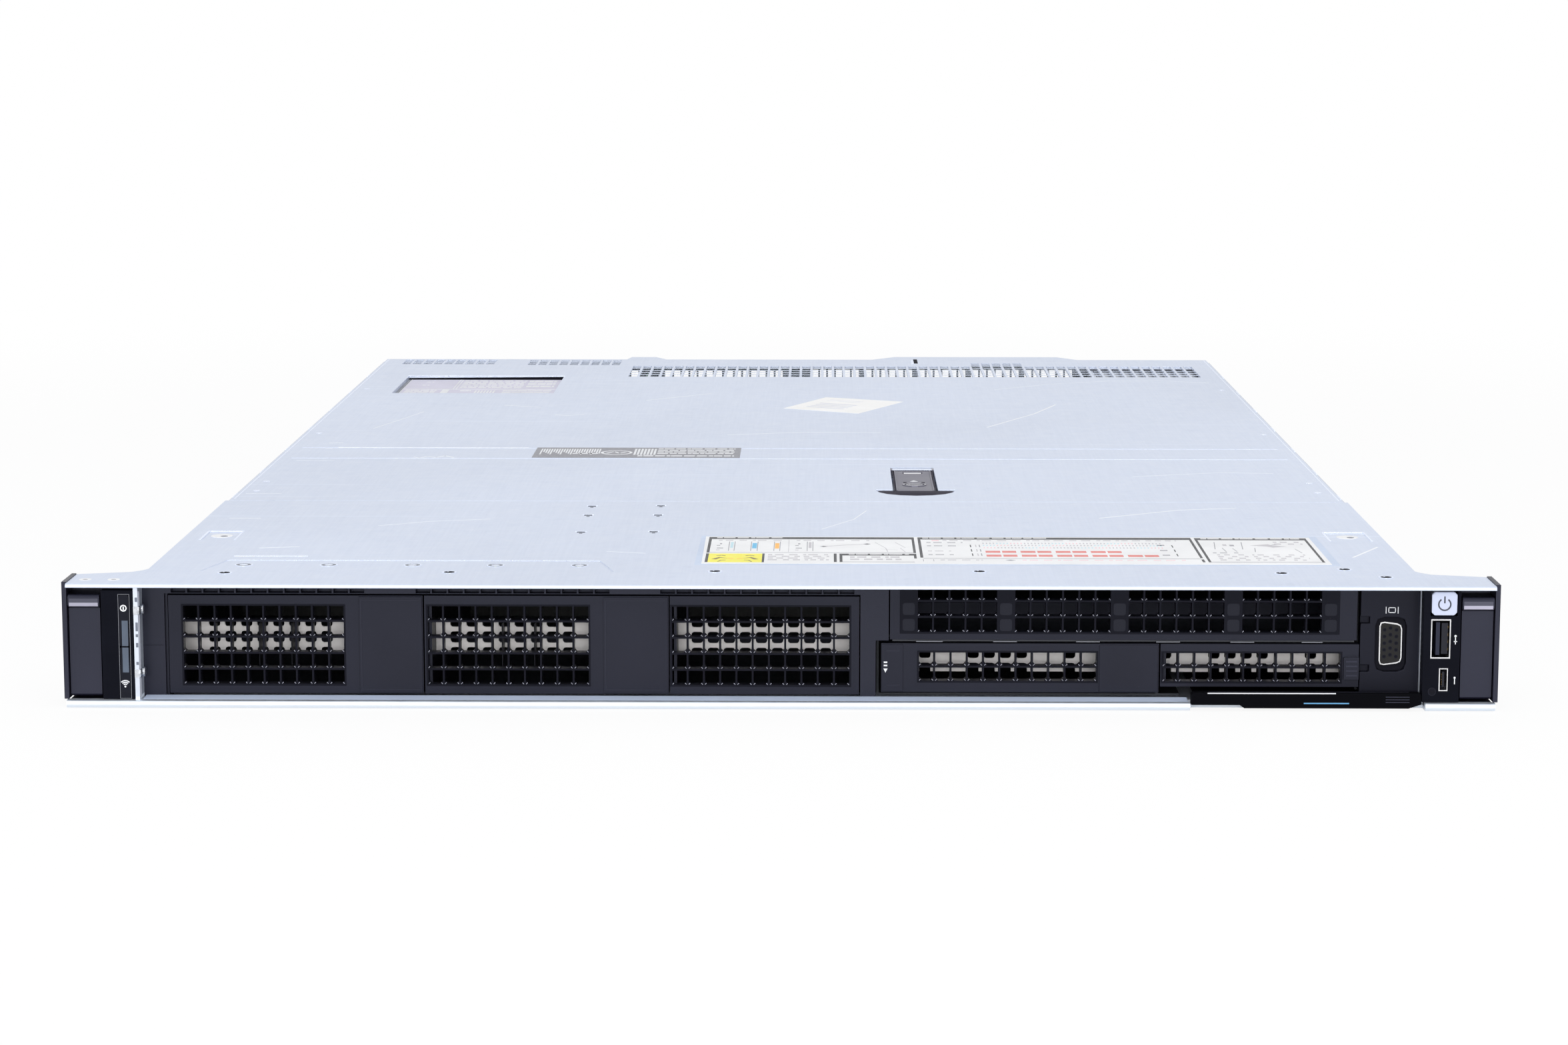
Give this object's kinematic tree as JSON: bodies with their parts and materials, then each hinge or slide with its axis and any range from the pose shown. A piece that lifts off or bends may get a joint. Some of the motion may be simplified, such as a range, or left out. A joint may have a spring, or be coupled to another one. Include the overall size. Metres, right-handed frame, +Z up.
{
  "type": "1u rack server",
  "caption": "Low, deep rack server with perforated blanks in the drive bay, sliding latch-locked cover, fan row and pull-out power supplies.",
  "frame": {"origin": "centre of the bounding box in plan, at the underside of the chassis floor", "axes": "+X to the right seen from the front, +Y from the front towards the rear, +Z up"},
  "size_m": [0.482, 0.735, 0.0428],
  "materials": {
    "chassis_base": "zinc-plated sheet, fine directional grain",
    "rear_wall": "zinc-plated sheet, fine directional grain",
    "front_top_panel": "zinc-plated sheet, fine directional grain",
    "top_cover": "zinc-plated sheet, fine directional grain",
    "rack_ear_left": "fine textured black",
    "rack_ear_right": "fine textured black",
    "slam_latch_left": "fine textured black",
    "slam_latch_right": "fine textured black",
    "left_control_panel": "glossy black",
    "right_control_panel": "glossy black",
    "id_button": "glossy black",
    "wireless_button": "glossy black",
    "power_button": "satin silver grey",
    "usb_a_port": "bright plated shell",
    "micro_usb_port": "bright plated shell",
    "ear_rivets": "plated",
    "bay_frame": "satin dark grey",
    "drive_blank_1": "satin dark grey",
    "drive_blank_2": "satin dark grey",
    "drive_blank_3": "satin dark grey",
    "drive_blank_4": "satin dark grey",
    "drive_blank_5": "satin dark grey",
    "blank_screen_1": "bright plated",
    "blank_screen_2": "bright plated",
    "blank_screen_3": "bright plated",
    "blank_screen_4": "bright plated",
    "blank_screen_5": "bright plated",
    "wide_upper_filler": "satin dark grey",
    "vga_panel": "satin dark grey",
    "front_vga_connector": "plated shell, dark insulator",
    "info_tag": "satin black",
    "drive_cage": "plated sheet",
    "drive_backplane": "circuit board",
    "latch_lever": "dark grey satin",
    "latch_lock": "plated",
    "fan_housings": "black",
    "fan_rotor_1": "black",
    "fan_rotor_2": "black",
    "fan_rotor_3": "black",
    "fan_rotor_4": "black",
    "fan_rotor_5": "black",
    "fan_rotor_6": "black",
    "fan_rotor_7": "black",
    "system_board": "circuit board",
    "cpu_heatsink_1": "plain",
    "cpu_heatsink_2": "plain",
    "memory_modules": "circuit board",
    "air_shroud": "black",
    "pcie_riser": "circuit board",
    "slot_covers": "plated sheet",
    "ocp_cover": "plated sheet",
    "rear_network_ports": "plated shell",
    "rear_usb_ports": "plated shell",
    "rear_vga_connector": "plated shell",
    "rear_id_button": "translucent blue",
    "power_supply_1": "plated case",
    "power_supply_2": "plated case",
    "psu_latch_1": "orange release tab",
    "psu_latch_2": "orange release tab",
    "rail_studs": "plated"
  },
  "bodies": {
    "chassis": {"chassis_base": "chassis_base", "rear_wall": "rear_wall", "front_top_panel": "front_top_panel", "rack_ear_left": "rack_ear_left", "rack_ear_right": "rack_ear_right", "left_control_panel": "left_control_panel", "right_control_panel": "right_control_panel", "usb_a_port": "usb_a_port", "micro_usb_port": "micro_usb_port", "ear_rivets": "ear_rivets", "bay_frame": "bay_frame", "wide_upper_filler": "wide_upper_filler", "vga_panel": "vga_panel", "front_vga_connector": "front_vga_connector", "drive_cage": "drive_cage", "drive_backplane": "drive_backplane", "fan_housings": "fan_housings", "system_board": "system_board", "cpu_heatsink_1": "cpu_heatsink_1", "cpu_heatsink_2": "cpu_heatsink_2", "memory_modules": "memory_modules", "air_shroud": "air_shroud", "pcie_riser": "pcie_riser", "slot_covers": "slot_covers", "ocp_cover": "ocp_cover", "rear_network_ports": "rear_network_ports", "rear_usb_ports": "rear_usb_ports", "rear_vga_connector": "rear_vga_connector", "rail_studs": "rail_studs"},
    "cover": {"top_cover": "top_cover"},
    "latch_lever": {"latch_lever": "latch_lever"},
    "latch_lock": {"latch_lock": "latch_lock"},
    "slam_latch_left": {"slam_latch_left": "slam_latch_left"},
    "slam_latch_right": {"slam_latch_right": "slam_latch_right"},
    "power_button": {"power_button": "power_button"},
    "id_button": {"id_button": "id_button"},
    "wireless_button": {"wireless_button": "wireless_button"},
    "rear_id_button": {"rear_id_button": "rear_id_button"},
    "info_tag": {"info_tag": "info_tag"},
    "power_supply_1": {"power_supply_1": "power_supply_1"},
    "power_supply_2": {"power_supply_2": "power_supply_2"},
    "psu_latch_1": {"psu_latch_1": "psu_latch_1"},
    "psu_latch_2": {"psu_latch_2": "psu_latch_2"},
    "drive_blank_1": {"drive_blank_1": "drive_blank_1", "blank_screen_1": "blank_screen_1"},
    "drive_blank_2": {"drive_blank_2": "drive_blank_2", "blank_screen_2": "blank_screen_2"},
    "drive_blank_3": {"drive_blank_3": "drive_blank_3", "blank_screen_3": "blank_screen_3"},
    "drive_blank_4": {"drive_blank_4": "drive_blank_4", "blank_screen_4": "blank_screen_4"},
    "drive_blank_5": {"drive_blank_5": "drive_blank_5", "blank_screen_5": "blank_screen_5"},
    "fan_rotor_1": {"fan_rotor_1": "fan_rotor_1"},
    "fan_rotor_2": {"fan_rotor_2": "fan_rotor_2"},
    "fan_rotor_3": {"fan_rotor_3": "fan_rotor_3"},
    "fan_rotor_4": {"fan_rotor_4": "fan_rotor_4"},
    "fan_rotor_5": {"fan_rotor_5": "fan_rotor_5"},
    "fan_rotor_6": {"fan_rotor_6": "fan_rotor_6"},
    "fan_rotor_7": {"fan_rotor_7": "fan_rotor_7"}
  },
  "joints": [
    {"name": "cover_slide", "type": "slide", "parent": "chassis", "child": "cover", "axis": [0, 1, 0], "range_m": [0, 0.012]},
    {"name": "latch_lever_hinge", "type": "hinge", "parent": "cover", "child": "latch_lever", "pos_m": [0.051, -0.083, 0.041], "axis": [-1, 0, 0], "range_deg": [0, 80]},
    {"name": "latch_lock_turn", "type": "hinge", "parent": "latch_lever", "child": "latch_lock", "pos_m": [0.051, -0.1265, 0.041], "axis": [0, 0, 1], "range_deg": [0, 90]},
    {"name": "slam_latch_left_hinge", "type": "hinge", "parent": "chassis", "child": "slam_latch_left", "pos_m": [-0.23375, -0.3615, 0.007], "axis": [1, 0, 0], "range_deg": [0, 8], "stiffness_Nm_per_rad": 0.3},
    {"name": "slam_latch_right_hinge", "type": "hinge", "parent": "chassis", "child": "slam_latch_right", "pos_m": [0.23375, -0.3615, 0.007], "axis": [1, 0, 0], "range_deg": [0, 8], "stiffness_Nm_per_rad": 0.3},
    {"name": "power_button_press", "type": "slide", "parent": "chassis", "child": "power_button", "axis": [0, 1, 0], "range_m": [0, 0.001], "stiffness_N_per_m": 600},
    {"name": "id_button_press", "type": "slide", "parent": "chassis", "child": "id_button", "axis": [0, 1, 0], "range_m": [0, 0.001], "stiffness_N_per_m": 600},
    {"name": "wireless_button_press", "type": "slide", "parent": "chassis", "child": "wireless_button", "axis": [0, 1, 0], "range_m": [0, 0.001], "stiffness_N_per_m": 600},
    {"name": "rear_id_button_press", "type": "slide", "parent": "chassis", "child": "rear_id_button", "axis": [0, -1, 0], "range_m": [0, 0.001], "stiffness_N_per_m": 600},
    {"name": "info_tag_slide", "type": "slide", "parent": "chassis", "child": "info_tag", "axis": [0, -1, 0], "range_m": [0, 0.09]},
    {"name": "drive_blank_1_slide", "type": "slide", "parent": "chassis", "child": "drive_blank_1", "axis": [0, -1, 0], "range_m": [0, 0.085]},
    {"name": "drive_blank_2_slide", "type": "slide", "parent": "chassis", "child": "drive_blank_2", "axis": [0, -1, 0], "range_m": [0, 0.085]},
    {"name": "drive_blank_3_slide", "type": "slide", "parent": "chassis", "child": "drive_blank_3", "axis": [0, -1, 0], "range_m": [0, 0.085]},
    {"name": "drive_blank_4_slide", "type": "slide", "parent": "chassis", "child": "drive_blank_4", "axis": [0, -1, 0], "range_m": [0, 0.085]},
    {"name": "drive_blank_5_slide", "type": "slide", "parent": "chassis", "child": "drive_blank_5", "axis": [0, -1, 0], "range_m": [0, 0.085]},
    {"name": "power_supply_1_slide", "type": "slide", "parent": "chassis", "child": "power_supply_1", "axis": [0, 1, 0], "range_m": [0, 0.18]},
    {"name": "power_supply_2_slide", "type": "slide", "parent": "chassis", "child": "power_supply_2", "axis": [0, 1, 0], "range_m": [0, 0.18]},
    {"name": "psu_latch_1_hinge", "type": "hinge", "parent": "power_supply_1", "child": "psu_latch_1", "pos_m": [-0.1982, 0.3365, 0.0215], "axis": [0, 0, -1], "range_deg": [0, 10], "stiffness_Nm_per_rad": 0.05},
    {"name": "psu_latch_2_hinge", "type": "hinge", "parent": "power_supply_2", "child": "psu_latch_2", "pos_m": [0.1982, 0.3365, 0.0215], "axis": [0, 0, 1], "range_deg": [0, 10], "stiffness_Nm_per_rad": 0.05},
    {"name": "fan_rotor_1_spin", "type": "hinge", "parent": "chassis", "child": "fan_rotor_1", "pos_m": [-0.18, -0.04775, 0.0207], "axis": [0, 1, 0], "continuous": true},
    {"name": "fan_rotor_2_spin", "type": "hinge", "parent": "chassis", "child": "fan_rotor_2", "pos_m": [-0.12, -0.04775, 0.0207], "axis": [0, 1, 0], "continuous": true},
    {"name": "fan_rotor_3_spin", "type": "hinge", "parent": "chassis", "child": "fan_rotor_3", "pos_m": [-0.06, -0.04775, 0.0207], "axis": [0, 1, 0], "continuous": true},
    {"name": "fan_rotor_4_spin", "type": "hinge", "parent": "chassis", "child": "fan_rotor_4", "pos_m": [0, -0.04775, 0.0207], "axis": [0, 1, 0], "continuous": true},
    {"name": "fan_rotor_5_spin", "type": "hinge", "parent": "chassis", "child": "fan_rotor_5", "pos_m": [0.06, -0.04775, 0.0207], "axis": [0, 1, 0], "continuous": true},
    {"name": "fan_rotor_6_spin", "type": "hinge", "parent": "chassis", "child": "fan_rotor_6", "pos_m": [0.12, -0.04775, 0.0207], "axis": [0, 1, 0], "continuous": true},
    {"name": "fan_rotor_7_spin", "type": "hinge", "parent": "chassis", "child": "fan_rotor_7", "pos_m": [0.18, -0.04775, 0.0207], "axis": [0, 1, 0], "continuous": true}
  ],
  "couplings": [
    {"joint": "latch_lever_hinge", "follows": "cover_slide", "rad_per_m": 116}
  ]
}
